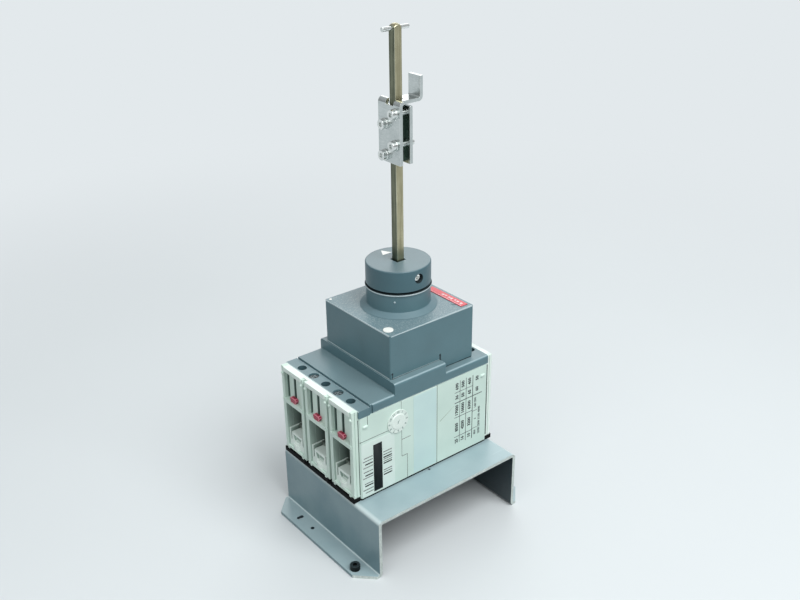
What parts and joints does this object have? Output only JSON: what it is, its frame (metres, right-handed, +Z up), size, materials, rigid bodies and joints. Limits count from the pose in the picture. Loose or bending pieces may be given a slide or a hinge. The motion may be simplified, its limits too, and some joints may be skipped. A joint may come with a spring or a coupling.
{
  "type": "moulded case circuit breaker with rotary shaft operator",
  "caption": "Three-pole moulded case circuit breaker on a bent sheet bracket, with a rotary mechanism box, knob, square shaft and clamped hook plate.",
  "frame": {"origin": "on the ground, at the middle of the bracket's footprint", "axes": "+Z up along the operating shaft, X from the line terminals (-X) to the load terminals (+X), the label side of the case towards -Y"},
  "size_m": [0.161, 0.118, 0.3651],
  "materials": {
    "bracket_paint": "satin grey paint on bent steel sheet",
    "black_steel": "black oxide steel",
    "black_pad": "black moulded plastic",
    "cream_moulding": "pale grey-cream moulded thermoset",
    "cream_middle": "pale cool grey moulded thermoset",
    "cream_frame": "pale grey-cream moulded thermoset",
    "white_moulding": "near-white moulded plastic",
    "red_plastic": "red plastic",
    "cream_block": "pale moulded plastic",
    "tinned_copper": "tin-plated copper",
    "dark_cover": "charcoal blue-grey moulded plastic",
    "dark_box": "charcoal blue-grey moulded plastic, fine grain on top",
    "dark_knob": "charcoal blue-grey moulded plastic",
    "zinc_steel": "bright zinc-plated steel",
    "zinc_plate": "bright zinc-plated steel sheet",
    "olive_zinc": "yellow-olive passivated steel bar",
    "white_disc": "white plastic",
    "white_cap": "white plastic",
    "red_label": "red film"
  },
  "bodies": {
    "breaker": {"mounting_bracket": "bracket_paint", "foot_screws": "black_steel", "base_pad": "black_pad", "case_line_section": "cream_moulding", "case_middle_section": "cream_middle", "case_load_section": "cream_moulding", "line_frame_left": "cream_frame", "line_frame_centre": "cream_frame", "line_frame_right": "cream_frame", "load_frame_left": "cream_frame", "load_frame_centre": "cream_frame", "load_frame_right": "cream_frame", "line_lip": "white_moulding", "load_lip": "white_moulding", "line_pole_markers": "red_plastic", "load_pole_markers": "red_plastic", "line_terminal_blocks": "cream_block", "load_terminal_blocks": "cream_block", "line_terminal_tongues": "tinned_copper", "load_terminal_tongues": "tinned_copper", "line_terminal_cover": "dark_cover", "cover_screws": "zinc_steel", "front_cover": "dark_cover", "date_disc": "white_disc", "mechanism_box": "dark_box", "red_label_bar": "red_label", "corner_caps": "white_cap", "collar": "dark_knob"},
    "shaft": {"knob": "dark_knob", "set_screw": "zinc_steel", "operating_shaft": "olive_zinc", "cross_pin": "zinc_steel", "clamp_front_plate": "zinc_plate", "clamp_rear_plate": "zinc_plate", "clamp_screw_1": "zinc_steel", "clamp_screw_2": "zinc_steel", "clamp_screw_3": "zinc_steel", "clamp_screw_4": "zinc_steel"}
  },
  "joints": [
    {"name": "shaft_turn", "type": "hinge", "parent": "breaker", "child": "shaft", "pos_m": [0.0114, 0.013, 0.2], "axis": [0, 0, 1], "range_deg": [-90, 0]}
  ]
}
